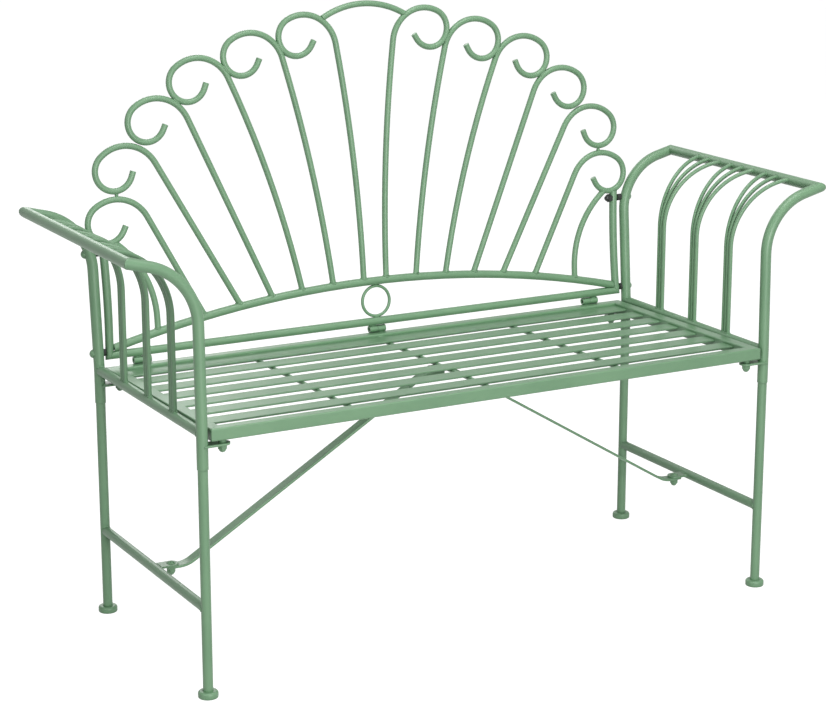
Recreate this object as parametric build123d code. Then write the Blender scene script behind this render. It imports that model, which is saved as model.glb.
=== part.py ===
from build123d import *
import os
from math import cos, radians, sin, sqrt, tan

# A two-seat garden bench of welded and bolted steel tube.
# Millimetres and degrees. +X runs along the bench, the sitter faces -Y and +Z is up.
# The plan origin is midway between the legs until the last step, which centres the whole box on it.

# Side frames: legs, arms and the rails that join them.
half_width = 520.0              # leg axes, from the middle of the bench
half_depth = 211.0              # leg axes, front and rear
leg_od = 16.0
tube_wall = 1.2
post_od = 18.0                  # arm posts are sleeved over the legs
post_wall = 0.9
sleeve_low = 368.0
leg_top = 412.0
rail_height = 424.0             # axis of the side rail that carries the arm rods
stretcher_height = 145.0
front_lean = 1.2                # lean of the front posts above the side rail
lean_radius = 250.0
post_bend_height = 590.0        # where a post starts to curve outwards
post_bend_radius = 100.0
post_bend_angle = 76.0
arm_reach = 107.0               # arm rail, out from the leg axis
mitre_overshoot = 30.0

# Rods that fan out from the side rail to the arm rail.
arm_rod_od = 7.0
arm_rod_gap = 0.1
bundle_pitch = 101.0
arm_rod_bend_height = 582.0
arm_rod_end_pitch = 33.4
arm_rod_end_shift = 3.0
arm_rod_end_lift = 3.0          # above the axis of the arm rail

# Feet.
foot_diameter = 32.0
foot_height = 11.0
foot_sole = 4.0
foot_top_round = 4.0
foot_sole_round = 2.0

# Seat: a square tube ring with sunk slats, pitched back a little.
seat_height = 428.0             # ring top at its middle
seat_pitch = 0.8
seat_tube = 20.0
seat_wall = 1.5
seat_tube_round = 2.2           # outer corners of the square tube
seat_half_length = 508.0
seat_half_depth = 219.0
slat_count = 6                  # even slats; a seventh, wider one lies against the rear rail
slat_pitch = 55.1
slat_width = 32.0
slat_front_gap = 30.8           # between the front rail and the first slat
slat_thickness = 3.0
slat_sink = 5.0
cross_rod_od = 7.0
cross_rod_bite = 0.2            # how far a cross rod's top is let into the slats' undersides
cross_rod_spacing = 250.0

# Back: a tilted plane through the hinge side of the seat.
back_lean = 4.8
back_foot_y = 214.3             # the back's plane, at back_foot_z
back_foot_z = 425.0
back_tube_od = 14.0
scroll_od = 10.5
bottom_rail_rise = 20.0         # rises are measured up the back's plane
side_tube_x = 499.5
side_tube_bow = 2.5
side_tube_top = 205.0
arch_rise = 91.3
arch_radius = 2030.0
arch_slack = 1.0
side_arc_foot = 411.0
side_arc_straight = 71.0
side_arc_radius = 169.0
side_arc_angle = 53.0
top_arc_half_span = 79.0
top_arc_ends = 550.0
top_arc_apex = 571.0
ring_rod_od = 5.5
ring_bite = 0.6                 # how far the welded ring runs into the rails

# Each scroll: foot along the arch, heading from upright, run to the shoulder, bow of that run,
# turn over the shoulder and turn round the loop.
scrolls = [
    (324.5, 27.6, 201.5, 0.0, 99.3, 206.0),
    (257.1, 28.8, 292.5, 0.0, 103.8, 207.0),
    (197.0, 23.6, 347.0, 0.0, 102.6, 207.5),
    (140.6, 11.3, 393.3, 12.3, 104.7, 210.0),
    (81.2, 6.3, 406.0, 9.0, 109.2, 209.0),
    (22.0, 0.3, 416.6, 8.6, 108.7, 212.0),
]
shoulder_radius = 61.6
loop_radius = 32.7
scroll_tail = 9.6

# Hinges between the back and the seat.
hinge_y = 216.0
hinge_z = 431.3
hinge_spacing = 442.0
barrel_od = 12.0
barrel_length = 15.5
pin_od = 6.0
pin_clearance = 0.1
pin_recess = 3.0
knuckle_gap = 0.4
back_tab_width = 12.0
seat_tab_width = 8.0
tab_thickness = 4.0
tab_reach = 10.0                # from the hinge axis, before the rail trims it

# Fasteners.
lug_thickness = 3.0
lug_width = 24.0
seat_bolt_x = 486.0
seat_bolt_y = 209.0
seat_spacer_height = 5.0
spacer_od = 12.0
stud_od = 8.0
nut_flats = 13.0
nut_height = 7.5
hole_clearance = 0.5
brace_y = -1.6
brace_width = 20.0
brace_thickness = 4.0
brace_bolt_x = 490.0
brace_tip = 9.0                 # flat end beyond each bolt
brace_bend = 26.0               # from each bolt to the bend
brace_bend_radius = 45.0
brace_seating = 0.2             # slack between the flat ends and the tilted plate
brace_bolt_od = 6.0
back_bolt_od = 6.0
back_bolt_rises = (26.0, 192.0)
back_gap = 0.3                  # bolts and spacers stop this far from the back

up = Vector(0, 0, 1)
out = Vector(1, 0, 0)
back_plane = Plane(
    origin=(0, back_foot_y, back_foot_z),
    x_dir=(1, 0, 0),
    z_dir=(0, -cos(radians(back_lean)), sin(radians(back_lean))),
)
seat_plane = Plane(
    origin=(0, 0, seat_height),
    x_dir=(1, 0, 0),
    z_dir=(0, sin(radians(seat_pitch)), cos(radians(seat_pitch))),
)

nodes = {}


def add(name, *shapes):
    """Keep the solids of one named node."""
    solids = [solid for shape in shapes for solid in shape.solids()]
    nodes.setdefault(name, []).extend(solids)


def mirrored(shape):
    """The same shape on the other side of the bench."""
    return mirror(shape, about=Plane.YZ)


def add_pair(name, shape):
    """A left and a right node of one shape that is modelled on the right."""
    add(name + "_right", shape)
    add(name + "_left", mirrored(shape))


def rod(path, diameter, wall=0.0):
    """A round bar along a path, or a tube when it has a wall."""
    start = Plane(origin=path @ 0, z_dir=path % 0)
    solid = sweep(start * Circle(diameter / 2), path=path)
    if wall:
        solid -= sweep(start * Circle(diameter / 2 - wall), path=path)
    return solid


def bent_path(start, heading, steps):
    """A planar path of tangent pieces; headings turn from +Y towards +X.

    Each step is its length and its turn in degrees.
    """
    point = Vector(*start)
    edges = []
    for length, turn in steps:
        direction = Vector(sin(radians(heading)), cos(radians(heading)))
        if turn:
            edge = JernArc(point, direction, abs(length / radians(turn)), -turn)
        else:
            edge = Line(point, point + direction * length)
        edges.append(edge)
        point = edge @ 1
        heading += turn
    return Wire([edge.edge() for edge in edges])


def arc_length(radius, turn):
    """Length of an arc of this turn."""
    return radius * radians(abs(turn))


def upright(x, y, low, high, diameter):
    """A round post between two heights."""
    return Pos(x, y, low) * Cylinder(
        diameter / 2, high - low, align=(Align.CENTER, Align.CENTER, Align.MIN)
    )


def crossways(x_from, x_to, y, z, diameter):
    """A round bar along X."""
    bar = Cylinder(
        diameter / 2, abs(x_to - x_from), align=(Align.CENTER, Align.CENTER, Align.MIN)
    )
    return Pos(min(x_from, x_to), y, z) * Rot(0, 90, 0) * bar


def fore_and_aft(x, z, diameter, wall=0.0):
    """A tube along Y from leg axis to leg axis."""
    path = Line((x, -half_depth, z), (x, half_depth, z))
    return rod(path, diameter, wall)


def cap_nut(centre, direction):
    """A hexagonal cap nut whose seat is at a point; its dome points along a direction."""
    seat = Plane(origin=centre, z_dir=direction)
    hexagon = extrude(RegularPolygon(nut_flats / 2, 6, major_radius=False), nut_height)
    dome = Pos(0, 0, nut_height) * Sphere(nut_flats / 2 - 0.8)
    dome &= Pos(0, 0, nut_height) * Cylinder(
        nut_flats, nut_flats, align=(Align.CENTER, Align.CENTER, Align.MIN)
    )
    return seat * (hexagon + dome)


def round_head(centre, direction, diameter, height):
    """A low domed bolt head on a point."""
    radius = diameter / 2
    ball = (radius ** 2 + height ** 2) / (2 * height)
    head = Pos(0, 0, height - ball) * Sphere(ball)
    head &= Cylinder(radius + 1, height + 1, align=(Align.CENTER, Align.CENTER, Align.MIN))
    return Plane(origin=centre, z_dir=direction) * head


# Legs and feet.
def post_path(y, lean, overshoot):
    """Axis of an arm post, and the corner that it reaches at the arm rail."""
    rise = Vector(0, sin(radians(lean)), cos(radians(lean)))
    knee = Vector(half_width, y, rail_height)
    easing = lean_radius * tan(radians(lean / 2))
    turn = radians(post_bend_angle)
    bend_start = knee + rise * ((post_bend_height - rail_height) / cos(radians(lean)))
    bend_out = post_bend_radius * (1 - cos(turn))
    bend_end = bend_start + out * bend_out + rise * (post_bend_radius * sin(turn))
    heading = out * sin(turn) + rise * cos(turn)
    corner = bend_end + heading * ((arm_reach - bend_out) / sin(turn))
    pieces = [
        Line(knee - up * (rail_height - sleeve_low), knee - up * easing),
        TangentArc(knee - up * easing, knee + rise * easing, tangent=up),
        Line(knee + rise * easing, bend_start),
        TangentArc(bend_start, bend_end, tangent=rise),
        Line(bend_end, corner + heading * overshoot),
    ]
    return Wire([piece.edge() for piece in pieces]), corner, heading


front_axis, front_corner, front_heading = post_path(-half_depth, front_lean, mitre_overshoot)
rear_axis, rear_corner, rear_heading = post_path(half_depth, back_lean, mitre_overshoot)
rail_direction = (rear_corner - front_corner).normalized()
front_mitre = Plane(origin=front_corner, z_dir=front_heading + rail_direction)
rear_mitre = Plane(origin=rear_corner, z_dir=rear_heading - rail_direction)

front_outer = split(rod(front_axis, post_od), bisect_by=front_mitre, keep=Keep.BOTTOM)
rear_outer = split(rod(rear_axis, post_od), bisect_by=rear_mitre, keep=Keep.BOTTOM)
front_post = split(rod(front_axis, post_od, post_wall), bisect_by=front_mitre, keep=Keep.BOTTOM)
rear_post = split(rod(rear_axis, post_od, post_wall), bisect_by=rear_mitre, keep=Keep.BOTTOM)

arm_line = Line(
    front_corner - rail_direction * mitre_overshoot,
    rear_corner + rail_direction * mitre_overshoot,
)


def mitred_arm(shape):
    """The stretch of an arm rail between the two mitres."""
    shape = split(shape, bisect_by=front_mitre, keep=Keep.TOP)
    return split(shape, bisect_by=rear_mitre, keep=Keep.TOP)


arm_outer = mitred_arm(rod(arm_line, post_od))
arm_rail = mitred_arm(rod(arm_line, post_od, post_wall))
side_rail_outer = fore_and_aft(half_width, rail_height, leg_od)
side_rail = fore_and_aft(half_width, rail_height, leg_od, tube_wall) - front_outer - rear_outer

stretcher = fore_and_aft(half_width, stretcher_height, leg_od, tube_wall)
for y in (-half_depth, half_depth):
    stretcher -= upright(half_width, y, 0, leg_top, leg_od)

foot_cap = Cylinder(
    foot_diameter / 2, foot_height, align=(Align.CENTER, Align.CENTER, Align.MIN)
)
foot_cap = fillet(foot_cap.edges().filter_by(GeomType.CIRCLE).sort_by(Axis.Z)[-1:], foot_top_round)
foot_cap = fillet(foot_cap.edges().filter_by(GeomType.CIRCLE).sort_by(Axis.Z)[:1], foot_sole_round)
foot_cap -= upright(0, 0, foot_sole, foot_height, leg_od)

for end, y in (("front", -half_depth), ("rear", half_depth)):
    leg = upright(half_width, y, foot_sole, leg_top, leg_od)
    leg -= upright(half_width, y, foot_sole, leg_top, leg_od - 2 * tube_wall)
    add_pair("leg_" + end, leg)
    for x in (-half_width, half_width):
        add("foot_caps", Pos(x, y, 0) * foot_cap)

add_pair("stretcher", stretcher)
add_pair("side_rail", side_rail)
add_pair("arm_top_rail", arm_rail)


# Arm rods, in three bundles that fan out to nine evenly spaced ends.
arm_height = (front_corner.Z + rear_corner.Z) / 2
ends_per_bundle = 3
for bundle, place in enumerate(("rear", "middle", "front")):
    fan = []
    for index in range(ends_per_bundle):
        foot_y = (1 - bundle) * bundle_pitch + (1 - index) * (arm_rod_od + arm_rod_gap)
        end_number = bundle * ends_per_bundle + index
        end_y = arm_rod_end_shift + (4 - end_number) * arm_rod_end_pitch
        foot = Vector(half_width, foot_y, rail_height)
        bend = Vector(half_width, foot_y, arm_rod_bend_height)
        end = Vector(half_width + arm_reach, end_y, arm_height + arm_rod_end_lift)
        path = Wire([Line(foot, bend).edge(), TangentArc(bend, end, tangent=up).edge()])
        fan.append(rod(path, arm_rod_od) - side_rail_outer - arm_outer)
    add("arm_rods_" + place + "_right", *fan)
    add("arm_rods_" + place + "_left", *[mirrored(shape) for shape in fan])


# Seat ring: four mitred lengths of square tube.
def level_box(x_size, y_size, top, height):
    """A box about the seat's middle, by its top and height in the seat's own plane."""
    return Pos(0, 0, top - height / 2) * Box(x_size, y_size, height)


def square_tube(length):
    """Square tube along X, its top at zero, with rounded corners."""
    profile = RectangleRounded(seat_tube, seat_tube, seat_tube_round)
    bore = seat_tube - 2 * seat_wall
    profile -= RectangleRounded(bore, bore, seat_tube_round - seat_wall)
    tube = extrude(Plane.YZ * profile, length / 2, both=True)
    return Pos(0, 0, -seat_tube / 2) * tube


def mitre_wedge(corners):
    """A flat wedge that takes one side of the ring."""
    return Pos(0, 0, -seat_tube) * extrude(make_face(Polyline(*corners, close=True)), seat_tube)


long_tube = square_tube(2 * seat_half_length)
rail_offset = seat_half_depth - seat_tube / 2
end_offset = seat_half_length - seat_tube / 2
end_tube = Pos(end_offset, 0, 0) * Rot(0, 0, 90) * square_tube(2 * seat_half_depth)
inner_x = seat_half_length - seat_half_depth
near_right = (seat_half_length, -seat_half_depth)
near_left = (-seat_half_length, -seat_half_depth)
far_right = (seat_half_length, seat_half_depth)
far_left = (-seat_half_length, seat_half_depth)
front_wedge = mitre_wedge((near_left, near_right, (inner_x, 0), (-inner_x, 0)))
rear_wedge = mitre_wedge((far_right, far_left, (-inner_x, 0), (inner_x, 0)))
right_wedge = mitre_wedge((near_right, far_right, (inner_x, 0)))
seat_front_rail = seat_plane * ((Pos(0, -rail_offset, 0) * long_tube) & front_wedge)
seat_rear_rail = seat_plane * ((Pos(0, rail_offset, 0) * long_tube) & rear_wedge)
seat_end = seat_plane * (end_tube & right_wedge)
add("seat_front_rail", seat_front_rail)
add("seat_rear_rail", seat_rear_rail)
add_pair("seat_end", seat_end)

# Slats from rear to front: a wide one against the rear rail, then the even ones.
clear_x = seat_half_length - seat_tube
clear_y = seat_half_depth - seat_tube
first_edge = slat_front_gap - clear_y
wide_edge = first_edge + slat_count * slat_pitch
slat_rows = [((wide_edge + clear_y) / 2, clear_y - wide_edge)]
for number in reversed(range(slat_count)):
    slat_rows.append((first_edge + number * slat_pitch + slat_width / 2, slat_width))
slats = []
for slat_y, width in slat_rows:
    place = Pos(0, slat_y, -slat_sink - slat_thickness / 2)
    slats.append(place * Box(2 * clear_x, width, slat_thickness))
    add("seat_slat_" + str(len(slats)), seat_plane * slats[-1])

# Round rods under the slats, from the front rail to the rear rail.
cross_rod_height = cross_rod_bite - slat_sink - slat_thickness - cross_rod_od / 2
cross_rod = Pos(0, 0, cross_rod_height) * Rot(90, 0, 0) * Cylinder(cross_rod_od / 2, 2 * clear_y)
for x in (-cross_rod_spacing, 0, cross_rod_spacing):
    add("seat_cross_rods", seat_plane * (Pos(x, 0, 0) * cross_rod - slats))


# Seat lugs, studs, spacers and cap nuts.
def lug(x_tip, y, top, root_shape):
    """A flat lug from a post or rail inwards, with a round end about its hole."""
    radius = lug_width / 2
    plate = Pos(half_width, y, top - lug_thickness / 2) * Box(
        2 * (half_width - x_tip), lug_width, lug_thickness
    )
    plate &= Pos(half_width / 2, y, top - lug_thickness / 2) * Box(
        half_width, lug_width, lug_thickness
    )
    nose = Pos(x_tip, y, top - lug_thickness / 2) * Cylinder(radius, lug_thickness)
    return plate + nose - root_shape


def ring_underside(y):
    """Height of the ring's underside at a depth."""
    return seat_height - y * tan(radians(seat_pitch)) - seat_tube / cos(radians(seat_pitch))


for end, side, post in (("front", -1, front_outer), ("rear", 1, rear_outer)):
    y = side * seat_bolt_y
    underside = ring_underside(y)
    lug_top = underside - seat_spacer_height
    hole = upright(seat_bolt_x, y, lug_top - 20, underside + 2, stud_od + hole_clearance)
    plate = lug(seat_bolt_x, y, lug_top, post) - hole
    spacer = upright(seat_bolt_x, y, lug_top, underside + 1, spacer_od) - hole
    stud_low = lug_top - lug_thickness - nut_height
    stud = upright(seat_bolt_x, y, stud_low, underside + 1, stud_od)
    ring_solid = seat_plane * level_box(2 * seat_half_length, 2 * seat_half_depth, 0, seat_tube)
    spacer -= ring_solid
    stud -= ring_solid
    nut = cap_nut((seat_bolt_x, y, lug_top - lug_thickness), -up) - stud
    for name, shape in (
        ("seat_lugs", plate),
        ("seat_spacers", spacer),
        ("seat_studs", stud),
        ("cap_nuts", nut),
    ):
        add(name, shape, mirrored(shape))


# Diagonal braces, from under the stretchers' lugs to a plate below the middle cross rod.
lug_top = stretcher_height + lug_thickness
lug_under = stretcher_height
plate_top = cross_rod_height - cross_rod_od / 2 + cross_rod_bite
brace_plate = Pos(0, brace_y, plate_top - lug_thickness / 2) * Box(
    lug_width, lug_width, lug_thickness
)
brace_plate = seat_plane * (brace_plate - cross_rod)
plate_under = seat_height + plate_top - lug_thickness - brace_y * tan(radians(seat_pitch))


def brace(top):
    """A flat bar with flat ends, bent up to the plate under the seat."""
    low = lug_under - brace_thickness / 2
    high = top - brace_thickness / 2
    line = FilletPolyline(
        (brace_bolt_x + brace_tip, low), (brace_bolt_x - brace_bend, low),
        (brace_bend, high), (-brace_tip, high), radius=brace_bend_radius,
    )
    strip = Plane.XZ * trace(line, brace_thickness)
    return Pos(0, brace_y + brace_width / 2, 0) * extrude(strip, brace_width)


hole_od = brace_bolt_od + hole_clearance
upper_hole = upright(0, brace_y, plate_under - 25, plate_under, hole_od)
lower_hole = upright(brace_bolt_x, brace_y, lug_under - 20, lug_top + 20, hole_od)
high_brace = brace(plate_under - brace_seating) - upper_hole - lower_hole
low_brace = brace(plate_under - brace_thickness - brace_seating) - upper_hole - lower_hole
add("brace_right", high_brace)
add("brace_left", mirrored(low_brace))
brace_lug = lug(brace_bolt_x, brace_y, lug_top, fore_and_aft(half_width, stretcher_height, leg_od))
brace_lug -= lower_hole
add("brace_lugs", brace_lug, mirrored(brace_lug), brace_plate)

lower_seat = lug_under - brace_thickness
lower_bolt = upright(brace_bolt_x, brace_y, lower_seat - nut_height, lug_top, brace_bolt_od)
lower_bolt += round_head((brace_bolt_x, brace_y, lug_top), up, 15.0, 4.0)
lower_nut = cap_nut((brace_bolt_x, brace_y, lower_seat), -up) - lower_bolt
upper_seat = plate_under - 2 * brace_thickness - brace_seating
brace_stud = upright(0, brace_y, upper_seat - nut_height, plate_under + 1, brace_bolt_od)
upper_nut = cap_nut((0, brace_y, upper_seat), -up) - brace_stud
add("brace_bolts", lower_bolt, mirrored(lower_bolt))
add("seat_studs", brace_stud - brace_plate)
add("cap_nuts", lower_nut, mirrored(lower_nut), upper_nut)


# Back frame: bottom rail and side tubes mitred at the corners, and the arch between them.
corner_low = (side_tube_x, bottom_rail_rise)
side_low = Vector(*corner_low)
side_middle = Vector(side_tube_x - side_tube_bow, (bottom_rail_rise + side_tube_top) / 2)
side_high = Vector(side_tube_x, side_tube_top)
side_curve = ThreePointArc(side_low, side_middle, side_high)
tangent = side_curve % 0
side_line = Wire([
    Line(side_low - tangent * back_tube_od, side_low).edge(),
    side_curve.edge(),
])
corner_plane = Plane(origin=side_low, z_dir=tangent + out)
bottom_line = Line(
    (-side_tube_x - back_tube_od, bottom_rail_rise), (side_tube_x + back_tube_od, bottom_rail_rise)
)


def mitred_bottom(shape):
    """The stretch of the bottom rail between the two mitres."""
    shape = split(shape, bisect_by=corner_plane, keep=Keep.BOTTOM)
    return mirrored(split(mirrored(shape), bisect_by=corner_plane, keep=Keep.BOTTOM))


bottom_outer = mitred_bottom(rod(bottom_line, back_tube_od))
bottom_rail = mitred_bottom(rod(bottom_line, back_tube_od, tube_wall))
side_outer = split(rod(side_line, back_tube_od), bisect_by=corner_plane, keep=Keep.TOP)
side_tube = split(rod(side_line, back_tube_od, tube_wall), bisect_by=corner_plane, keep=Keep.TOP)


def arch_height(x):
    """Rise of the arch's axis."""
    return arch_rise - (arch_radius - sqrt(arch_radius ** 2 - x ** 2))


arch_line = ThreePointArc(
    (-side_tube_x, arch_height(side_tube_x)), (0, arch_rise), (side_tube_x, arch_height(side_tube_x))
)
arch_outer = rod(arch_line, back_tube_od)
arch_room = Box(
    2 * side_tube_x - back_tube_od - arch_slack, 2 * arch_rise, 2 * back_tube_od,
    align=(Align.CENTER, Align.MIN, Align.CENTER),
)
arch_room = Pos(0, bottom_rail_rise + back_tube_od / 2, 0) * arch_room
arch_rail = rod(arch_line, back_tube_od, tube_wall) & arch_room


def scroll(foot_x, heading, run, bow, shoulder, loop):
    """One scroll rod of the fan, from its foot on the arch to its curled end."""
    path = bent_path(
        (foot_x, arch_height(foot_x)),
        heading,
        (
            (run, bow),
            (arc_length(shoulder_radius, shoulder), shoulder),
            (arc_length(loop_radius, loop), loop),
            (scroll_tail, 0),
        ),
    )
    return rod(path, scroll_od) - arch_outer


fan = [scroll(*row) for row in scrolls]
for number in range(len(fan) - 1):
    fan[number] = fan[number] - fan[number + 1]

side_arc_path = bent_path(
    (side_arc_foot, arch_height(side_arc_foot)),
    0,
    (
        (side_arc_straight - arch_height(side_arc_foot), 0),
        (arc_length(side_arc_radius, side_arc_angle), side_arc_angle),
    ),
)
side_arc = rod(side_arc_path, scroll_od) - arch_outer - fan[0]
side_tube = side_tube - fan[0]
top_arc = rod(
    ThreePointArc((-top_arc_half_span, top_arc_ends), (0, top_arc_apex), (top_arc_half_span, top_arc_ends)),
    scroll_od,
) - fan[5] - mirrored(fan[5])

ring_low = bottom_rail_rise + back_tube_od / 2 - ring_bite
ring_high = arch_rise - back_tube_od / 2 + ring_bite
ring_radius = (ring_high - ring_low - ring_rod_od) / 2
back_ring = Pos(0, (ring_low + ring_high) / 2, 0) * Torus(ring_radius, ring_rod_od / 2)
back_ring = back_ring - arch_outer - bottom_outer

add("back_bottom_rail", back_plane * bottom_rail)
add("back_arch_rail", back_plane * arch_rail)
add("back_ring", back_plane * back_ring)
add("back_top_arc", back_plane * top_arc)
add("back_side_arcs", back_plane * side_arc, back_plane * mirrored(side_arc))


# Hinges: one knuckle under the back's rail and one on the seat's rear rail, on one pin.
bottom_rail_place = back_plane * bottom_outer


def knuckle(x_from, x_to, tab_low, tab_high, tab_width):
    """A barrel along X with a tab that welds it to a rail above or below it."""
    bore = crossways(x_from, x_to, hinge_y, hinge_z, pin_od + 2 * pin_clearance)
    barrel = crossways(x_from, x_to, hinge_y, hinge_z, barrel_od)
    middle = (x_from + x_to) / 2
    tab = Pos(middle, hinge_y, (tab_low + tab_high) / 2) * Box(
        tab_width, tab_thickness, tab_high - tab_low
    )
    return barrel + tab - bore


for hinge_x in (-hinge_spacing, 0, hinge_spacing):
    hand = -1 if hinge_x > 0 else 1
    far = hand * barrel_length
    near = hand * knuckle_gap / 2
    to_back = knuckle(hinge_x - near, hinge_x - far, hinge_z, hinge_z + tab_reach, back_tab_width)
    to_seat = knuckle(hinge_x + near, hinge_x + far, hinge_z - tab_reach, hinge_z, seat_tab_width)
    to_back -= bottom_rail_place
    to_seat -= ring_solid
    pin_half = barrel_length - pin_recess
    add("hinge_back_knuckles", to_back)
    add("hinge_seat_knuckles", to_seat)
    add("hinge_pins", crossways(hinge_x - pin_half, hinge_x + pin_half, hinge_y, hinge_z, pin_od))


# Bolts through the rear posts, with a rubber spacer between post and back.
side_face = side_tube_x + back_tube_od / 2
bolt_end = side_face + back_gap
back_bolts = []
for rise in back_bolt_rises:
    place = back_plane.from_local_coords(Vector(0, rise, 0))
    hole = crossways(bolt_end, half_width + 40, place.Y, place.Z, back_bolt_od + hole_clearance)
    spacer = crossways(bolt_end, half_width, place.Y, place.Z, spacer_od) - hole - rear_outer
    rear_post -= hole
    head_x = half_width + post_od / 2 + (3.8 if rise > 100 else 0)
    head = round_head((head_x - 1.5, place.Y, place.Z), out, 15.0, 6.5) - rear_outer
    stem = crossways(bolt_end, head_x + 1, place.Y, place.Z, back_bolt_od)
    bolt = head + stem
    add("back_bolts", bolt, mirrored(bolt))
    add("back_spacers", spacer, mirrored(spacer))
top_bolt = back_plane.from_local_coords(Vector(0, back_bolt_rises[1], 0))
inner_face = side_tube_x - back_tube_od / 2
back_nut = cap_nut((inner_face + 1.5, top_bolt.Y, top_bolt.Z), -out) - back_plane * side_outer
add("back_cap_nuts", back_nut, mirrored(back_nut))

add_pair("arm_post_front", front_post)
add_pair("arm_post_rear", rear_post)
add_pair("back_side_tube", back_plane * side_tube)
for number, shape in enumerate(fan):
    placed = back_plane * shape
    add("scroll_pair_" + str(number + 1), placed, mirrored(placed))


# Centre the box on the plan origin, with the feet at zero, and write one file per node.
everything = Compound([solid for solids in nodes.values() for solid in solids])
box = everything.bounding_box()
shift = Vector(0, -(box.min.Y + box.max.Y) / 2, -box.min.Z)
os.makedirs("parts", exist_ok=True)
for name, solids in nodes.items():
    placed = [solid.moved(Location(shift)) for solid in solids]
    shape = placed[0] if len(placed) == 1 else Compound(placed)
    export_step(shape, "parts/" + name + ".step")
print(len(nodes), "nodes; box", box.size, "shift", shift)
print("hinge axis at", hinge_y + shift.Y, hinge_z + shift.Z)
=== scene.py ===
"""A welded garden bench with a scroll back: its coat, weld beads, fittings and a plain studio."""

import math

import bmesh
import bpy
import numpy as np
from bpy.props import FloatProperty, FloatVectorProperty, IntProperty, PointerProperty
from mathutils import Matrix, Vector
from mathutils.bvhtree import BVHTree


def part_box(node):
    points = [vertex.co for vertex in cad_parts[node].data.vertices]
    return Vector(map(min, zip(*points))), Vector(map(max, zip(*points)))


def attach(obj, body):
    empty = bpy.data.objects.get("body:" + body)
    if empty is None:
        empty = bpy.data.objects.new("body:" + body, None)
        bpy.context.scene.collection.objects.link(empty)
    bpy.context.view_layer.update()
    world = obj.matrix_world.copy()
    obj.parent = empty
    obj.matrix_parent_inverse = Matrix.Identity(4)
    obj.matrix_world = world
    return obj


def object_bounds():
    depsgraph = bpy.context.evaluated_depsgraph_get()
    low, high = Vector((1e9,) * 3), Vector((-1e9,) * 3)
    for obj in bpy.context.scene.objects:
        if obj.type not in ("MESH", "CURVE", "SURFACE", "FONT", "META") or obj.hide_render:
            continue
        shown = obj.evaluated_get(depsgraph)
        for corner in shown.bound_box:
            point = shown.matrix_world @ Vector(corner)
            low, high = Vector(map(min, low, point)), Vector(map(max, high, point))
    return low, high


bl_info = {
    "name": "Scroll Back Garden Bench",
    "version": (1, 0, 0),
    "blender": (4, 5, 0),
    "location": "View3D > Sidebar > Garden Bench",
    "description": "Powder coat, weld beads and a studio for a welded steel garden bench",
    "category": "Object",
}

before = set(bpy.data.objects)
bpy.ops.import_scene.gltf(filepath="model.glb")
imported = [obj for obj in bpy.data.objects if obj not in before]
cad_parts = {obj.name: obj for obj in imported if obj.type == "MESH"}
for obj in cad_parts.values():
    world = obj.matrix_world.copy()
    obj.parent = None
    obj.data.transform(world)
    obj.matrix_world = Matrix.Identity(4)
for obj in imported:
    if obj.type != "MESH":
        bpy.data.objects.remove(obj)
cad_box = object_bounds()

MM = 0.001
MERGE = 1e-6
ROOT = "root"
BACK = "back"
SIDES = ("left", "right")
ENDS = ("front", "rear")
SLATS = tuple(name for name in sorted(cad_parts) if name.startswith("seat_slat_"))
SCROLLS = tuple(name for name in sorted(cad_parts) if name.startswith("scroll_pair_"))
ARM_RODS = tuple(name for name in sorted(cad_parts) if name.startswith("arm_rods_"))
SEAT_SLOPE = math.tan(math.radians(0.8))  # the seat falls towards the back

ARM_ROD_RADIUS = 3.5 * MM
SCROLL_RADIUS = 5.25 * MM
END_REACH = 0.4 * MM  # how far off a surface a rod's end may lie and still stand on it
SIDE_REACH = 0.3 * MM  # how far apart two rods may lie and still touch side by side
LUG_STITCH = 18 * MM

ALONG_X = Vector((1, 0, 0))
ALONG_Y = Vector((0, 1, 0))
DOWN = Vector((0, 0, -1))
WHITE = (1, 1, 1, 1)
FULL_FRAME = 36
FAR_CLIP = 200

# Each lamp's place and side in metres, and its power in watts.
LAMPS = (
    ("overhead_softbox", (0.3, -0.9, 3.2), 1.4, 44),
    ("left_softbox", (-3.4, -1.6, 2.4), 1.2, 26),
    ("front_softbox", (-0.6, -4.4, 1.0), 1.0, 108),
    ("rear_softbox", (0.5, 3.4, 2.0), 1.4, 24),
)


def linear(colour):
    """An sRGB hex colour as linear red, green and blue."""
    channels = [int(colour[place : place + 2], 16) / 255 for place in (1, 3, 5)]
    return tuple(
        value / 12.92 if value <= 0.04045 else ((value + 0.055) / 1.055) ** 2.4 for value in channels
    )


# Reading the frame.
def merged(*names):
    """A bmesh of CAD nodes, with their doubles merged."""
    mesh = bmesh.new()
    for name in names:
        mesh.from_mesh(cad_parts[name].data)
    bmesh.ops.remove_doubles(mesh, verts=mesh.verts, dist=MERGE)
    return mesh


def surface_of(*names):
    """The outer surface of CAD nodes, to find near points and hits on."""
    mesh = merged(*names)
    surface = BVHTree.FromBMesh(mesh)
    mesh.free()
    return surface


def solids_of(name):
    """The points of each separate solid of a CAD node."""
    mesh = merged(name)
    seen = set()
    found = []
    for first in mesh.verts:
        if first in seen:
            continue
        seen.add(first)
        waiting = [first]
        points = []
        while waiting:
            vert = waiting.pop()
            points.append(vert.co.copy())
            for edge in vert.link_edges:
                other = edge.other_vert(vert)
                if other not in seen:
                    seen.add(other)
                    waiting.append(other)
        found.append(points)
    mesh.free()
    return found


def corners(points):
    """The lowest and highest corner of some points."""
    low = Vector([min(point[axis] for point in points) for axis in range(3)])
    high = Vector([max(point[axis] for point in points) for axis in range(3)])
    return low, high


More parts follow.
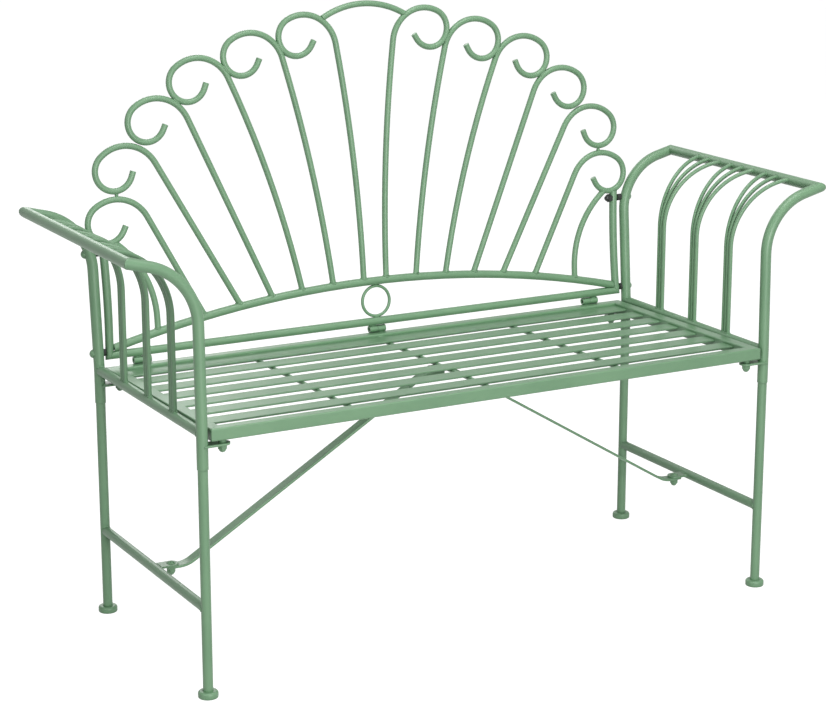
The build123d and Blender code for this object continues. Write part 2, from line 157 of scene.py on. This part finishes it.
def contacts(points, surface, reach, spread):
    """Groups of points that lie on a surface: one group for each place where two parts touch."""
    groups = []
    for point in points:
        if surface.find_nearest(point, reach)[0] is None:
            continue
        near = [group for group in groups if any((point - other).length < spread for other in group)]
        groups = [group for group in groups if not any(group is other for other in near)]
        groups.append([point] + [other for group in near for other in group])
    return groups


def end_direction(points, centre, radius):
    """The way that a rod runs into its end, from the middle of its next ring of points."""
    lengths = sorted((point - centre).length for point in points)
    nearest = next(length for length in lengths if length > 3 * radius)
    ring = [
        point for point in points
        if 3 * radius < (point - centre).length <= nearest + 2 * radius
    ]
    middle = sum(ring, Vector()) / len(ring)
    return (centre - middle).normalized()


# Weld beads.
def ripple(angle, phase, depth):
    """How the width of a hand-laid bead varies as it goes round."""
    return 1 + depth * math.sin(5 * angle + phase) + 0.5 * depth * math.sin(11 * angle + 2 * phase)


def lay_ring(mesh, centre, direction, radius, surface, phase):
    """A bead round a rod's end, on the surface that the rod runs into."""
    settings = bpy.context.scene.bench_welds
    throat = settings.throat
    before = set(mesh.verts)
    section = bmesh.ops.create_circle(
        mesh,
        segments=settings.bead_sides,
        radius=throat,
        matrix=Matrix.Translation((radius, 0, 0)) @ Matrix.Rotation(math.pi / 2, 4, "X"),
    )["verts"]
    rim = list({edge for vert in section for edge in vert.link_edges})
    bmesh.ops.spin(
        mesh,
        geom=section + rim,
        cent=(0, 0, 0),
        axis=(0, 0, 1),
        angle=2 * math.pi,
        steps=settings.bead_steps,
        use_merge=True,
    )
    turn = direction.to_track_quat("Z", "Y").to_matrix()
    reach = 4 * radius
    inside = 0.93 * radius
    for vert in [vert for vert in mesh.verts if vert not in before]:
        angle = math.atan2(vert.co.y, vert.co.x)
        outward = Vector((math.cos(angle), math.sin(angle), 0))
        swell = ripple(angle, phase, settings.ripple)
        offset = (vert.co - outward * radius) * swell
        start = centre + turn @ (outward * inside) - direction * reach
        hit = surface.ray_cast(start, direction, 2 * reach)[0]
        lift = (hit - start).length - reach if hit is not None else 0
        vert.co = centre + turn @ (outward * radius + offset) + direction * lift


def ring_ends(mesh, points, surface, radius, spread, phase):
    """A ring at each end of a rod that stands on a surface; gives the phase of the next bead."""
    for group in contacts(points, surface, END_REACH, spread):
        low, high = corners(group)
        centre = (low + high) / 2
        direction = end_direction(points, centre, radius)
        lay_ring(mesh, centre, direction, radius, surface, phase)
        phase += 1
    return phase


def lay_stitch(mesh, centre, along, length, throat, phase):
    """A short straight bead with tapered ends."""
    settings = bpy.context.scene.bench_welds
    ball = bmesh.ops.create_uvsphere(
        mesh, u_segments=settings.bead_sides + 2, v_segments=settings.stitch_rings, radius=1
    )
    turn = along.to_track_quat("Z", "Y").to_matrix()
    for vert in ball["verts"]:
        swell = ripple(3 * vert.co.z, phase, settings.ripple)
        shape = Vector((vert.co.x * swell, vert.co.y * swell, vert.co.z))
        shape.x *= throat
        shape.y *= throat
        shape.z *= length / 2
        vert.co = centre + turn @ shape


def lay_bridge(mesh, points, surface, throat, phase):
    """A bead that fills the gap where two parts come closest without touching."""
    pairs = [(point, surface.find_nearest(point)[0]) for point in points]
    start, end = min(pairs, key=lambda pair: (pair[1] - pair[0]).length)
    across = end - start
    lay_stitch(mesh, (start + end) / 2, across, across.length + 3 * throat, throat, phase)


def lay_grooves(mesh, points, throat, share, phase):
    """Two beads along the sides of the patch where two rods touch side by side."""
    cloud = np.array(points, float)
    middle = cloud.mean(0)
    axes = np.linalg.svd(cloud - middle, full_matrices=False)[2]
    spans = [(cloud - middle) @ axis for axis in axes]
    along = Vector(axes[0])
    length = (spans[0].max() - spans[0].min()) * share
    for side, edge in ((1, spans[1].max()), (-1, spans[1].min())):
        place = Vector(middle) + Vector(axes[1]) * float(edge)
        lay_stitch(mesh, place, along, max(length, 3 * throat), throat, phase + side)


def finished_piece(name, mesh, body):
    """Close the mesh, make it an object with the coat on it, and let it ride on its body."""
    bmesh.ops.remove_doubles(mesh, verts=mesh.verts, dist=MERGE)
    bmesh.ops.recalc_face_normals(mesh, faces=mesh.faces)
    data = bpy.data.meshes.new(name)
    mesh.to_mesh(data)
    mesh.free()
    data.shade_smooth()
    piece = bpy.data.objects.new(name, data)
    bpy.context.scene.collection.objects.link(piece)
    data.materials.append(bpy.data.materials[COAT])
    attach(piece, body)


# Materials.
COAT = "sage_polyester_powder_coat"
RUBBER = "black_epdm_rubber"
BLACK_STEEL = "black_oxide_steel"


def add_node(tree, kind, inputs=None, **settings):
    """Add a shader node; each input is a value or another node's output."""
    new = tree.nodes.new("ShaderNode" + kind)
    for name, value in settings.items():
        setattr(new, name, value)
    for socket, value in (inputs or {}).items():
        if isinstance(value, bpy.types.NodeSocket):
            tree.links.new(value, new.inputs[socket])
        else:
            new.inputs[socket].default_value = value
    return new


def blank_material(name):
    """A node material with nothing but its output."""
    material = bpy.data.materials.new(name)
    material.use_nodes = True
    tree = material.node_tree
    tree.nodes.clear()
    return material, tree, add_node(tree, "OutputMaterial")


def tint(tree, factor, first, second):
    """Mix two colours by a factor, and give the result."""
    mixed = add_node(tree, "Mix", {"Factor": factor}, data_type="RGBA")
    for socket, colour in ((mixed.inputs[6], first), (mixed.inputs[7], second)):
        if isinstance(colour, bpy.types.NodeSocket):
            tree.links.new(colour, socket)
        else:
            socket.default_value = (*colour, 1)
    return mixed.outputs[2]


def powder_coat():
    """Polyester powder coat baked on mild steel.

    The eye sees a satin skin with a faint orange peel, a paler line along each sharp edge that is a
    painted highlight, where the coat also thins, a deeper green in corners and crevices that is painted
    shade, and a slow drift in tone along each tube.
    """
    settings = bpy.context.scene.bench_finish
    material, tree, output = blank_material(COAT)
    place = add_node(tree, "TexCoord").outputs["Object"]
    drift = add_node(tree, "TexNoise", {"Vector": place, "Scale": 1 / settings.drift_size, "Detail": 3.0})
    peel = add_node(tree, "TexNoise", {"Vector": place, "Scale": 1 / settings.peel_size, "Detail": 2.0})
    rounded = add_node(tree, "Bevel", {"Radius": settings.edge_radius}, samples=8)
    shape = add_node(tree, "NewGeometry")
    alike = add_node(
        tree, "VectorMath",
        {0: rounded.outputs["Normal"], 1: shape.outputs["Normal"]},
        operation="DOT_PRODUCT",
    )
    # Painted highlight: the colour turns paler along sharp edges, where the rounded normal parts from the
    # true one; the coat also thins there.
    edge = add_node(
        tree, "MapRange",
        {"Value": alike.outputs["Value"], "From Min": 0.82, "From Max": 0.70, "To Max": 0.40},
    )
    # Painted shade: the colour turns deeper green where ambient occlusion finds corners and crevices close
    # by.
    corner = add_node(tree, "AmbientOcclusion", {"Distance": settings.painted_shade_reach}, samples=6)
    painted_corner_shade = add_node(
        tree, "MapRange",
        {"Value": corner.outputs["AO"], "From Min": 0.25, "From Max": 0.85, "To Min": 0.75, "To Max": 0.0},
    )
    slow = add_node(
        tree, "MapRange",
        {"Value": drift.outputs["Fac"], "From Min": 0.35, "From Max": 0.65},
    )
    # A random drift in tone, then the painted highlight on edges, then the painted shade in corners.
    tone = tint(tree, slow.outputs["Result"], settings.coat_deep, settings.coat)
    tone = tint(tree, edge.outputs["Result"], tone, settings.coat_painted_edge_highlight)
    tone = tint(tree, painted_corner_shade.outputs["Result"], tone, settings.coat_painted_corner_shade)
    gloss = add_node(
        tree, "MapRange",
        {"Value": peel.outputs["Fac"], "To Min": settings.gloss_low, "To Max": settings.gloss_high},
    )
    bump = add_node(
        tree, "Bump",
        {
            "Strength": 0.08,
            "Distance": settings.peel_height,
            "Height": peel.outputs["Fac"],
            "Normal": rounded.outputs["Normal"],
        },
    )
    coat = add_node(
        tree, "BsdfPrincipled",
        {
            "Base Color": tone,
            "Roughness": gloss.outputs["Result"],
            "Normal": bump.outputs["Normal"],
            "IOR": 1.5,
            "Specular IOR Level": 0.50,
        },
    )
    tree.links.new(coat.outputs["BSDF"], output.inputs["Surface"])
    return material


def dark_finish(name, colour, worn, grain, roughness, metallic):
    """A black finish with a fine grain that shows as slight changes of tone and gloss."""
    material, tree, output = blank_material(name)
    place = add_node(tree, "TexCoord").outputs["Object"]
    speck = add_node(tree, "TexNoise", {"Vector": place, "Scale": 1 / grain, "Detail": 4.0})
    tone = tint(tree, speck.outputs["Fac"], linear(colour), linear(worn))
    gloss = add_node(
        tree, "MapRange",
        {"Value": speck.outputs["Fac"], "To Min": roughness - 0.08, "To Max": roughness + 0.08},
    )
    bump = add_node(
        tree, "Bump", {"Strength": 0.3, "Distance": 0.05 * MM, "Height": speck.outputs["Fac"]}
    )
    skin = add_node(
        tree, "BsdfPrincipled",
        {
            "Base Color": tone,
            "Metallic": metallic,
            "Roughness": gloss.outputs["Result"],
            "Normal": bump.outputs["Normal"],
        },
    )
    tree.links.new(skin.outputs["BSDF"], output.inputs["Surface"])
    return material


def seen_directly(tree):
    """One for a ray that shows the surface itself: to the camera, by gloss or through glass."""
    path = add_node(tree, "LightPath")
    glossy = add_node(
        tree, "Math",
        {0: path.outputs["Is Glossy Ray"], 1: path.outputs["Is Transmission Ray"]},
        operation="MAXIMUM",
    )
    return add_node(
        tree, "Math", {0: path.outputs["Is Camera Ray"], 1: glossy.outputs[0]}, operation="MAXIMUM"
    ).outputs[0]


def studio_floor():
    """Matt white floor paint: it shows white and keeps a faint shadow."""
    settings = bpy.context.scene.bench_studio
    material, tree, output = blank_material("matt_white_floor_paint")
    plain = add_node(tree, "BsdfDiffuse", {"Color": (*linear("#A8A8A8"), 1)})
    shaded = add_node(tree, "BsdfDiffuse", {"Color": (*[settings.shadow] * 3, 1)})
    glow = add_node(tree, "Emission", {"Color": WHITE, "Strength": settings.floor_glow})
    shown = add_node(tree, "AddShader", {0: shaded.outputs[0], 1: glow.outputs[0]})
    mixed = add_node(
        tree, "MixShader", {0: seen_directly(tree), 1: plain.outputs[0], 2: shown.outputs[0]}
    )
    tree.links.new(mixed.outputs[0], output.inputs["Surface"])
    return material


# Studio.
def lay_floor():
    """A square floor under the bench."""
    mesh = bmesh.new()
    half = bpy.context.scene.bench_studio.floor_size / 2
    bmesh.ops.create_grid(mesh, x_segments=1, y_segments=1, size=half)
    data = bpy.data.meshes.new("studio_floor")
    mesh.to_mesh(data)
    mesh.free()
    floor = bpy.data.objects.new("studio_floor", data)
    bpy.context.scene.collection.objects.link(floor)
    data.materials.append(studio_floor())


def hang_lamps():
    """Square softboxes that face the middle of the bench."""
    middle = (cad_box[0] + cad_box[1]) / 2
    for name, place, size, power in LAMPS:
        lamp = bpy.data.lights.new(name, "AREA")
        lamp.shape = "SQUARE"
        lamp.size = size
        lamp.energy = power
        light = bpy.data.objects.new(name, lamp)
        light.location = place
        light.rotation_euler = (middle - Vector(place)).to_track_quat("-Z", "Y").to_euler()
        bpy.context.scene.collection.objects.link(light)


def light_room():
    """Even light from all sides, from surroundings that show plain white."""
    world = bpy.data.worlds.new("white_room")
    bpy.context.scene.world = world
    world.use_nodes = True
    tree = world.node_tree
    tree.nodes.clear()
    strength = bpy.context.scene.bench_studio.room_light
    lit = add_node(tree, "Background", {"Color": WHITE, "Strength": strength})
    shown = add_node(tree, "Background", {"Color": WHITE, "Strength": 1.0})
    mixed = add_node(tree, "MixShader", {0: seen_directly(tree), 1: lit.outputs[0], 2: shown.outputs[0]})
    add_node(tree, "OutputWorld", {"Surface": mixed.outputs[0]})


def place_camera():
    """The camera, turned by its azimuth, elevation and roll."""
    settings = bpy.context.scene.bench_studio
    lens = bpy.data.cameras.new("camera")
    lens.lens = settings.lens
    lens.sensor_width = FULL_FRAME
    lens.clip_end = FAR_CLIP
    camera = bpy.data.objects.new("camera", lens)
    azimuth, elevation, roll = settings.camera_turn
    back = Vector((
        math.sin(azimuth) * math.cos(elevation),
        -math.cos(azimuth) * math.cos(elevation),
        math.sin(elevation),
    ))
    turn = (-back).to_track_quat("-Z", "Y").to_matrix() @ Matrix.Rotation(roll, 3, "Z")
    camera.matrix_world = Matrix.Translation(settings.camera_place) @ turn.to_4x4()
    bpy.context.scene.collection.objects.link(camera)
    bpy.context.scene.camera = camera


# Settings.
class BenchFinish(bpy.types.PropertyGroup):
    """The bench's powder coat."""

    coat: FloatVectorProperty(
        name="Coat", description="Main colour of the powder coat",
        default=linear("#789F7B"), subtype="COLOR", size=3, min=0, max=1,
    )
    coat_deep: FloatVectorProperty(
        name="Coat, deeper", description="Colour that the coat drifts to along a tube",
        default=linear("#729976"), subtype="COLOR", size=3, min=0, max=1,
    )
    # Colour of the painted highlight along sharp edges, where the coat also thins.
    coat_painted_edge_highlight: FloatVectorProperty(
        name="Coat on edges", description="Paler colour where the coat thins over an edge",
        default=linear("#9DC2A0"), subtype="COLOR", size=3, min=0, max=1,
    )
    # Colour of the painted shade in corners and crevices.
    coat_painted_corner_shade: FloatVectorProperty(
        name="Coat in corners", description="Deeper colour where the coat pools in a corner",
        default=linear("#44714B"), subtype="COLOR", size=3, min=0, max=1,
    )
    drift_size: FloatProperty(
        name="Drift size", description="Length over which the tone drifts",
        default=90 * MM, unit="LENGTH",
    )
    peel_size: FloatProperty(
        name="Peel size", description="Width of one orange peel cell, drawn twice as coarse as it is",
        default=3.5 * MM, unit="LENGTH",
    )
    peel_height: FloatProperty(
        name="Peel height", description="Depth of the orange peel",
        default=0.05 * MM, unit="LENGTH",
    )
    edge_radius: FloatProperty(
        name="Edge radius", description="How far the coat rounds a sharp edge",
        default=2.2 * MM, unit="LENGTH",
    )
    # How far from a corner the painted shade reaches.
    painted_shade_reach: FloatProperty(
        name="Pool reach", description="How far from a corner the coat is deeper",
        default=9 * MM, unit="LENGTH",
    )
    gloss_low: FloatProperty(
        name="Lowest roughness", description="Roughness on the peel's valleys",
        default=0.36, min=0, max=1, subtype="FACTOR",
    )
    gloss_high: FloatProperty(
        name="Highest roughness", description="Roughness on the peel's tops",
        default=0.44, min=0, max=1, subtype="FACTOR",
    )


class BenchWelds(bpy.types.PropertyGroup):
    """The bench's weld beads."""

    throat: FloatProperty(
        name="Throat", description="Radius of a bead round a rod's end",
        default=1.3 * MM, unit="LENGTH",
    )
    ripple: FloatProperty(
        name="Ripple", description="How much a bead's width varies",
        default=0.14, min=0, max=0.5, subtype="FACTOR",
    )
    bead_sides: IntProperty(
        name="Bead sides", description="Faces round a bead's section", default=6, min=4, max=16
    )
    bead_steps: IntProperty(
        name="Bead steps", description="Faces along a bead round a rod", default=20, min=8, max=64
    )
    stitch_rings: IntProperty(
        name="Stitch rings", description="Faces along a short bead", default=10, min=4, max=32
    )


class BenchStudio(bpy.types.PropertyGroup):
    """The plain studio round the bench."""

    floor_size: FloatProperty(
        name="Floor size", description="Side of the square floor", default=60.0, unit="LENGTH"
    )
    floor_glow: FloatProperty(
        name="Floor glow", description="How white the floor shows by itself", default=0.97
    )
    shadow: FloatProperty(
        name="Shadow", description="How much of the lamps' light and shadow the floor shows",
        default=0.30, min=0, max=1, subtype="FACTOR",
    )
    room_light: FloatProperty(
        name="Room light", description="Strength of the even light from all sides", default=0.13
    )
    lens: FloatProperty(
        name="Lens", description="Focal length of the camera", default=101.72, subtype="NONE"
    )
    camera_place: FloatVectorProperty(
        name="Camera place", description="Where the camera stands",
        default=(-1.8434, -3.3284, 1.4226), size=3, subtype="TRANSLATION",
    )
    camera_turn: FloatVectorProperty(
        name="Camera turn", description="Azimuth, elevation and roll of the view",
        default=(math.radians(-28.527), math.radians(14.861), math.radians(-0.030)),
        size=3, subtype="EULER",
    )


# Pieces.
class BENCH_OT_materials(bpy.types.Operator):
    """Make the finishes and put them on the CAD nodes"""

    bl_idname = "bench.materials"
    bl_label = "Finish the Frame"

    def execute(self, context):
        finishes = {
            "green_paint": powder_coat(),
            "black_rubber": dark_finish(RUBBER, "#232524", "#333634", 1.2 * MM, 0.72, 0.0),
            "black_nuts": dark_finish(BLACK_STEEL, "#1C1F1E", "#2E3231", 1.5 * MM, 0.42, 0.0),
        }
        special = {"back_spacers": "black_rubber", "back_cap_nuts": "black_nuts"}
        for name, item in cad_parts.items():
            finish = finishes[special.get(name, "green_paint")]
            for slot in item.material_slots:
                slot.material = finish
        return {"FINISHED"}


class BENCH_OT_arm_rod_welds(bpy.types.Operator):
    """Weld both ends of every arm rod"""

    bl_idname = "bench.arm_rod_welds"
    bl_label = "Weld the Arm Rods"

    def execute(self, context):
        spread = 6 * MM
        for side in SIDES:
            mesh = bmesh.new()
            hosts = [surface_of("side_rail_" + side), surface_of("arm_top_rail_" + side)]
            phase = 0
            for name in ARM_RODS:
                if not name.endswith(side):
                    continue
                for points in solids_of(name):
                    for surface in hosts:
                        phase = ring_ends(mesh, points, surface, ARM_ROD_RADIUS, spread, phase)
            finished_piece("welds_arm_rods_" + side, mesh, ROOT)
        return {"FINISHED"}


class BENCH_OT_side_frame_welds(bpy.types.Operator):
    """Weld the stretchers and side rails to the legs and posts, and the feet to the legs"""

    bl_idname = "bench.side_frame_welds"
    bl_label = "Weld the Side Frames"

    def execute(self, context):
        for side in SIDES:
            mesh = bmesh.new()
            for rail, host in (("stretcher_", "leg_"), ("side_rail_", "arm_post_")):
                low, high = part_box(rail + side)
                middle = (low + high) / 2
                radius = (high.z - low.z) / 2
                for end, sign in zip(ENDS, (-1, 1)):
                    surface = surface_of(host + end + "_" + side)
                    direction = Vector((0, sign, 0))
                    hit = surface.ray_cast(middle, direction)[0]
                    lay_ring(mesh, hit, direction, radius, surface, sign + len(rail))
            feet = surface_of("foot_caps")
            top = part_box("foot_caps")[1].z
            for end in ENDS:
                low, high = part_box("leg_" + end + "_" + side)
                centre = Vector(((low.x + high.x) / 2, (low.y + high.y) / 2, top))
                lay_ring(mesh, centre, DOWN, (high.x - low.x) / 2, feet, len(end))
            finished_piece("welds_side_frame_" + side, mesh, ROOT)
        return {"FINISHED"}


class BENCH_OT_lug_welds(bpy.types.Operator):
    """Weld the seat lugs and brace lugs to the side frames"""

    bl_idname = "bench.lug_welds"
    bl_label = "Weld the Lugs"

    def execute(self, context):
        throat = 1.6 * MM
        beside_rod = 3 * MM
        for name, inset in (("seat_lugs", 5 * MM), ("brace_lugs", 1.5 * MM)):
            mesh = bmesh.new()
            for number, points in enumerate(solids_of(name)):
                low, high = corners(points)
                middle_y = (low.y + high.y) / 2
                if low.x < 0 < high.x:
                    places = [(x, high.z) for x in (-beside_rod, beside_rod)]
                else:
                    root_x = high.x - inset if low.x > 0 else low.x + inset
                    places = [(root_x, z) for z in (low.z, high.z)]
                for x, z in places:
                    lay_stitch(mesh, Vector((x, middle_y, z)), ALONG_Y, LUG_STITCH, throat, number)
            finished_piece("welds_" + name, mesh, ROOT)
        return {"FINISHED"}


class BENCH_OT_seat_welds(bpy.types.Operator):
    """Weld the slats and cross rods into the seat ring"""

    bl_idname = "bench.seat_welds"
    bl_label = "Weld the Seat"

    def execute(self, context):
        throat = 1.2 * MM
        end_stitch = 18 * MM
        rod_stitch = 16 * MM
        beside_rod = 2.6 * MM
        sunk = 0.5 * MM
        rods = [corners(points) for points in solids_of("seat_cross_rods")]
        mesh = bmesh.new()
        for number, name in enumerate(SLATS):
            low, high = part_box(name)
            middle_y = (low.y + high.y) / 2
            under = low.z + (high.y - low.y) / 2 * SEAT_SLOPE
            for x in (low.x, high.x):
                lay_stitch(mesh, Vector((x, middle_y, under)), ALONG_Y, end_stitch, throat, number)
            for rod_low, rod_high in rods:
                for side in (-beside_rod, beside_rod):
                    place = Vector(((rod_low.x + rod_high.x) / 2 + side, middle_y, under - sunk))
                    lay_stitch(mesh, place, ALONG_Y, rod_stitch, throat, number)
        low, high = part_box(SLATS[0])
        step_z = high.z - (high.y - low.y) * SEAT_SLOPE
        for number, (rod_low, rod_high) in enumerate(rods):
            place = Vector(((rod_low.x + rod_high.x) / 2, high.y, step_z))
            lay_stitch(mesh, place, ALONG_X, 13 * MM, 1.7 * MM, number)
        finished_piece("welds_slats", mesh, ROOT)
        mesh = bmesh.new()
        for number, (rod_low, rod_high) in enumerate(rods):
            middle = (rod_low + rod_high) / 2
            radius = (rod_high.x - rod_low.x) / 2
            for rail, sign in (("seat_front_rail", -1), ("seat_rear_rail", 1)):
                surface = surface_of(rail)
                direction = Vector((0, sign, 0))
                hit = surface.ray_cast(middle, direction)[0]
                hit.z = (rod_high.z - radius) if sign < 0 else (rod_low.z + radius)
                lay_ring(mesh, hit, direction, radius, surface, number + sign)
        finished_piece("welds_cross_rods", mesh, ROOT)
        return {"FINISHED"}


class BENCH_OT_scroll_welds(bpy.types.Operator):
    """Weld the scrolls to the arch and to each other"""

    bl_idname = "bench.scroll_welds"
    bl_label = "Weld the Scrolls"

    def execute(self, context):
        throat = 1.7 * MM
        bridge_throat = 1.9 * throat
        spread = 8 * MM
        fewest = 5
        arch = surface_of("back_arch_rail")
        above = surface_of(SCROLLS[1])
        feet = bmesh.new()
        touches = bmesh.new()
        phase = 0
        for index, name in enumerate(SCROLLS):
            beside = [SCROLLS[index + 1]] if index + 1 < len(SCROLLS) else ["back_top_arc"]
            if index == 0:
                beside += ["back_side_arcs", "back_side_tube_left", "back_side_tube_right"]
            neighbours = surface_of(*beside)
            for points in solids_of(name):
                if index == 0:
                    lay_bridge(touches, points, above, bridge_throat, phase)
                phase = ring_ends(feet, points, arch, SCROLL_RADIUS, spread, phase)
                for group in contacts(points, neighbours, SIDE_REACH, spread):
                    if len(group) >= fewest:
                        lay_grooves(touches, group, throat, 0.8, phase)
                        phase += 1
        for points in solids_of("back_side_arcs"):
            phase = ring_ends(feet, points, arch, SCROLL_RADIUS, spread, phase)
        finished_piece("welds_scroll_feet", feet, BACK)
        finished_piece("welds_scroll_touches", touches, BACK)
        return {"FINISHED"}


class BENCH_OT_ring_welds(bpy.types.Operator):
    """Weld the small ring between the arch and the bottom rail"""

    bl_idname = "bench.ring_welds"
    bl_label = "Weld the Ring"

    def execute(self, context):
        throat = 2.4 * MM
        mesh = bmesh.new()
        low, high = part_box("back_ring")
        centre = (low + high) / 2
        for sign, wide in ((1, 7 * MM), (-1, 11 * MM)):
            lean = sign * (high.y - low.y) / 2 * 0.6
            place = centre + Vector((0, lean, sign * (high.z - low.z) / 2))
            lay_stitch(mesh, place, ALONG_X, wide, throat, sign)
        finished_piece("welds_ring", mesh, BACK)
        return {"FINISHED"}


class BENCH_OT_hinge_welds(bpy.types.Operator):
    """Weld the hinge tabs to the back and to the seat"""

    bl_idname = "bench.hinge_welds"
    bl_label = "Weld the Hinges"

    def execute(self, context):
        length = 9 * MM
        throat = 1.3 * MM
        half_tab = 2.2 * MM
        for name, body, top in (
            ("hinge_back_knuckles", BACK, True),
            ("hinge_seat_knuckles", ROOT, False),
        ):
            mesh = bmesh.new()
            for number, points in enumerate(solids_of(name)):
                low, high = corners(points)
                middle = (low + high) / 2
                height = high.z - 1.0 * MM if top else low.z + 0.5 * MM
                for side in (-1, 1):
                    place = Vector((middle.x, middle.y + side * half_tab, height))
                    lay_stitch(mesh, place, ALONG_X, length, throat, number + side)
            finished_piece("welds_" + name, mesh, body)
        return {"FINISHED"}


class BENCH_OT_studio(bpy.types.Operator):
    """Make the floor, the lamps, the surroundings and the camera"""

    bl_idname = "bench.studio"
    bl_label = "Set Up the Studio"

    def execute(self, context):
        lay_floor()
        hang_lamps()
        light_room()
        place_camera()
        context.scene.view_settings.view_transform = "Standard"
        return {"FINISHED"}


STEPS = (
    BENCH_OT_materials,
    BENCH_OT_arm_rod_welds,
    BENCH_OT_side_frame_welds,
    BENCH_OT_lug_welds,
    BENCH_OT_seat_welds,
    BENCH_OT_scroll_welds,
    BENCH_OT_ring_welds,
    BENCH_OT_hinge_welds,
    BENCH_OT_studio,
)


class BENCH_PT_sidebar(bpy.types.Panel):
    """The bench's steps, in order"""

    bl_idname = "BENCH_PT_sidebar"
    bl_label = "Garden Bench"
    bl_space_type = "VIEW_3D"
    bl_region_type = "UI"
    bl_category = "Garden Bench"

    def draw(self, context):
        for settings in (
            context.scene.bench_finish,
            context.scene.bench_welds,
            context.scene.bench_studio,
        ):
            box = self.layout.box()
            for name in settings.__annotations__:
                box.prop(settings, name)
        for step in STEPS:
            self.layout.operator(step.bl_idname)


CLASSES = (BenchFinish, BenchWelds, BenchStudio, *STEPS, BENCH_PT_sidebar)


def register():
    for item in CLASSES:
        bpy.utils.register_class(item)
    bpy.types.Scene.bench_finish = PointerProperty(type=BenchFinish)
    bpy.types.Scene.bench_welds = PointerProperty(type=BenchWelds)
    bpy.types.Scene.bench_studio = PointerProperty(type=BenchStudio)


def unregister():
    del bpy.types.Scene.bench_studio
    del bpy.types.Scene.bench_welds
    del bpy.types.Scene.bench_finish
    for item in reversed(CLASSES):
        bpy.utils.unregister_class(item)


def main():
    """Build everything round the frame."""
    register()
    for step in STEPS:
        group, name = step.bl_idname.split(".")
        getattr(getattr(bpy.ops, group), name)()


if __name__ == "__main__":
    main()
